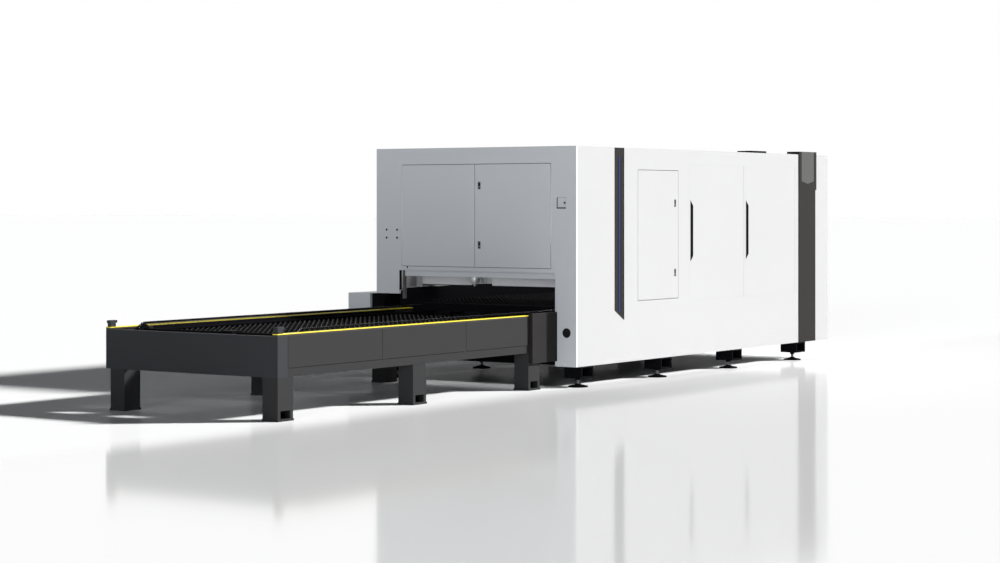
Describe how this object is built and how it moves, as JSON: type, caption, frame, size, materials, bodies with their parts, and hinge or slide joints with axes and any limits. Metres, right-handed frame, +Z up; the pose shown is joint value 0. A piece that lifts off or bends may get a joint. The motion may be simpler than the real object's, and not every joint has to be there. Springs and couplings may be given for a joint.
{
  "type": "laser cutting machine",
  "caption": "Enclosed sheet cutting machine with a gantry, hinged doors and an entry flap, beside an open exchange table with a lift and two slatted pallets on wheels.",
  "frame": {"origin": "on the floor below the middle of the bounding box", "axes": "+X along the length, from the exchange table towards the enclosed end; +Y away from the side with the service doors; +Z up"},
  "size_m": [8.82, 2.58, 2.185],
  "materials": {
    "grey_paint": "textured satin",
    "white_paint": "satin",
    "dark_paint": "satin",
    "panel_paint": "satin",
    "black_paint": "satin",
    "column_paint": "satin",
    "yellow_paint": "gloss",
    "machined_steel": "ground",
    "slat_steel": "cut edge",
    "black_rubber": "matt",
    "black_plastic": "matt",
    "white_fabric": "coated",
    "head_aluminium": "anodised",
    "light_lens": "lit",
    "drive_grey": "satin"
  },
  "bodies": {
    "machine": {"bed_frame": "black_paint", "levelling_feet": "black_paint", "x_rails": "machined_steel", "pallet_tracks": "black_paint", "slag_trays": "black_paint", "housing_frame": "grey_paint", "end_wall": "grey_paint", "near_wall": "white_paint", "far_wall": "white_paint", "rear_wall": "white_paint", "roof": "white_paint", "column_cover": "column_paint", "accent_strip": "column_paint", "light_strip": "light_lens", "cable_tray": "dark_paint", "dust_duct": "white_paint", "roof_cover": "black_paint", "flap_guides": "black_paint", "table_frame": "panel_paint", "table_end_panel": "dark_paint", "table_side_panels": "panel_paint", "safety_strips": "yellow_paint", "end_stops": "dark_paint", "drive_cover": "dark_paint", "lift_cylinders": "drive_grey", "drive_chains": "black_paint", "gearmotor": "black_paint"},
    "end_door_far": {"end_door_far": "grey_paint"},
    "end_door_near": {"end_door_near": "grey_paint"},
    "end_latch_upper": {"end_latch_upper": "black_plastic"},
    "end_latch_lower": {"end_latch_lower": "black_plastic"},
    "service_door": {"service_door": "white_paint"},
    "service_latch_upper": {"service_latch_upper": "black_plastic"},
    "service_latch_lower": {"service_latch_lower": "black_plastic"},
    "front_door_left": {"front_door_left": "white_paint", "front_handle_left": "black_plastic"},
    "front_door_right": {"front_door_right": "white_paint", "front_handle_right": "black_plastic"},
    "reset_button": {"reset_button": "black_plastic"},
    "entry_flap": {"entry_flap": "grey_paint"},
    "gantry": {"gantry_beam": "white_paint", "beam_bellows": "white_fabric"},
    "x_pinions": {"x_pinions": "machined_steel"},
    "carriage": {"y_carriage": "white_paint"},
    "y_pinion": {"y_pinion": "machined_steel"},
    "z_screw": {"z_screw": "machined_steel"},
    "head": {"z_slide": "head_aluminium", "cutting_head": "head_aluminium"},
    "lift": {"lift_frame": "black_paint", "lift_rods": "machined_steel"},
    "outer_pallet": {"outer_pallet_frame": "black_paint", "outer_pallet_slats": "slat_steel"},
    "inner_pallet": {"inner_pallet_frame": "black_paint", "inner_pallet_slats": "slat_steel"},
    "outer_front_wheels": {"outer_front_wheels": "machined_steel"},
    "outer_rear_wheels": {"outer_rear_wheels": "machined_steel"},
    "inner_front_wheels": {"inner_front_wheels": "machined_steel"},
    "inner_rear_wheels": {"inner_rear_wheels": "machined_steel"},
    "drive_shaft": {"drive_shaft": "black_paint"},
    "tail_sprockets": {"tail_sprockets": "machined_steel"}
  },
  "joints": [
    {"name": "end_door_far_hinge", "type": "hinge", "parent": "machine", "child": "end_door_far", "pos_m": [-0.592, 0.637, 1.5], "axis": [0, 0, -1], "range_deg": [0, 95]},
    {"name": "end_door_near_hinge", "type": "hinge", "parent": "machine", "child": "end_door_near", "pos_m": [-0.592, -0.996, 1.5], "axis": [0, 0, 1], "range_deg": [0, 95]},
    {"name": "end_latch_upper_pivot", "type": "hinge", "parent": "end_door_near", "child": "end_latch_upper", "pos_m": [-0.595, -0.23, 1.832], "axis": [0, 1, 0], "range_deg": [0, 40], "stiffness_Nm_per_rad": 0.3, "springref_deg": -17.19},
    {"name": "end_latch_lower_pivot", "type": "hinge", "parent": "end_door_near", "child": "end_latch_lower", "pos_m": [-0.595, -0.23, 1.289], "axis": [0, 1, 0], "range_deg": [0, 40], "stiffness_Nm_per_rad": 0.3, "springref_deg": -17.19},
    {"name": "service_door_hinge", "type": "hinge", "parent": "machine", "child": "service_door", "pos_m": [0.477, -1.272, 1.35], "axis": [0, 0, -1], "range_deg": [0, 95]},
    {"name": "service_latch_upper_pivot", "type": "hinge", "parent": "service_door", "child": "service_latch_upper", "pos_m": [1.149, -1.275, 1.67], "axis": [-1, 0, 0], "range_deg": [0, 40], "stiffness_Nm_per_rad": 0.3, "springref_deg": -17.19},
    {"name": "service_latch_lower_pivot", "type": "hinge", "parent": "service_door", "child": "service_latch_lower", "pos_m": [1.149, -1.275, 1.011], "axis": [-1, 0, 0], "range_deg": [0, 40], "stiffness_Nm_per_rad": 0.3, "springref_deg": -17.19},
    {"name": "front_door_left_hinge", "type": "hinge", "parent": "machine", "child": "front_door_left", "pos_m": [2.505, -1.272, 1.36], "axis": [0, 0, 1], "range_deg": [0, 95]},
    {"name": "front_door_right_hinge", "type": "hinge", "parent": "machine", "child": "front_door_right", "pos_m": [3.63, -1.272, 1.36], "axis": [0, 0, 1], "range_deg": [0, 95]},
    {"name": "reset_button_push", "type": "slide", "parent": "machine", "child": "reset_button", "axis": [1, 0, 0], "range_m": [0, 0.004], "stiffness_N_per_m": 400, "springref_m": -0.002},
    {"name": "entry_flap_slide", "type": "slide", "parent": "machine", "child": "entry_flap", "axis": [0, 0, 1], "range_m": [-0.22, 0]},
    {"name": "gantry_x", "type": "slide", "parent": "machine", "child": "gantry", "axis": [1, 0, 0], "range_m": [0, 3.1]},
    {"name": "carriage_y", "type": "slide", "parent": "gantry", "child": "carriage", "axis": [0, 1, 0], "range_m": [-0.95, 0.45], "deforming": ["beam_bellows"]},
    {"name": "head_z", "type": "slide", "parent": "carriage", "child": "head", "axis": [0, 0, 1], "range_m": [-0.12, 0.01]},
    {"name": "x_pinion_spin", "type": "hinge", "parent": "gantry", "child": "x_pinions", "pos_m": [0.06, 0, 0.8715], "axis": [0, 1, 0], "continuous": true},
    {"name": "y_pinion_spin", "type": "hinge", "parent": "carriage", "child": "y_pinion", "pos_m": [0, 0.105, 1.1815], "axis": [-1, 0, 0], "continuous": true},
    {"name": "z_screw_spin", "type": "hinge", "parent": "carriage", "child": "z_screw", "pos_m": [-0.102, 0.105, 1], "axis": [0, 0, 1], "continuous": true},
    {"name": "table_lift", "type": "slide", "parent": "machine", "child": "lift", "axis": [0, 0, 1], "range_m": [0, 0.115]},
    {"name": "outer_pallet_slide", "type": "slide", "parent": "lift", "child": "outer_pallet", "axis": [1, 0, 0], "range_m": [0, 3.55]},
    {"name": "inner_pallet_slide", "type": "slide", "parent": "lift", "child": "inner_pallet", "axis": [-1, 0, 0], "range_m": [0, 3.55]},
    {"name": "outer_front_wheel_spin", "type": "hinge", "parent": "outer_pallet", "child": "outer_front_wheels", "pos_m": [-3.663, -0.155, 0.548], "axis": [0, 1, 0], "continuous": true},
    {"name": "outer_rear_wheel_spin", "type": "hinge", "parent": "outer_pallet", "child": "outer_rear_wheels", "pos_m": [-0.943, -0.155, 0.548], "axis": [0, 1, 0], "continuous": true},
    {"name": "inner_front_wheel_spin", "type": "hinge", "parent": "inner_pallet", "child": "inner_front_wheels", "pos_m": [-0.113, -0.155, 0.663], "axis": [0, -1, 0], "continuous": true},
    {"name": "inner_rear_wheel_spin", "type": "hinge", "parent": "inner_pallet", "child": "inner_rear_wheels", "pos_m": [2.607, -0.155, 0.663], "axis": [0, -1, 0], "continuous": true},
    {"name": "drive_shaft_spin", "type": "hinge", "parent": "machine", "child": "drive_shaft", "pos_m": [-4.033, -0.155, 0.617], "axis": [0, 1, 0], "continuous": true},
    {"name": "tail_sprocket_spin", "type": "hinge", "parent": "machine", "child": "tail_sprockets", "pos_m": [0.02, -0.155, 0.617], "axis": [0, 1, 0], "continuous": true}
  ],
  "couplings": [
    {"joint": "x_pinion_spin", "follows": "gantry_x", "rad_per_m": 41.667},
    {"joint": "y_pinion_spin", "follows": "carriage_y", "rad_per_m": 41.667},
    {"joint": "z_screw_spin", "follows": "head_z", "rad_per_m": 628.32},
    {"joint": "tail_sprocket_spin", "follows": "drive_shaft_spin", "ratio": 1},
    {"joint": "outer_front_wheel_spin", "follows": "outer_pallet_slide", "rad_per_m": 31.546},
    {"joint": "outer_rear_wheel_spin", "follows": "outer_pallet_slide", "rad_per_m": 31.546},
    {"joint": "inner_front_wheel_spin", "follows": "inner_pallet_slide", "rad_per_m": 31.546},
    {"joint": "inner_rear_wheel_spin", "follows": "inner_pallet_slide", "rad_per_m": 31.546}
  ]
}
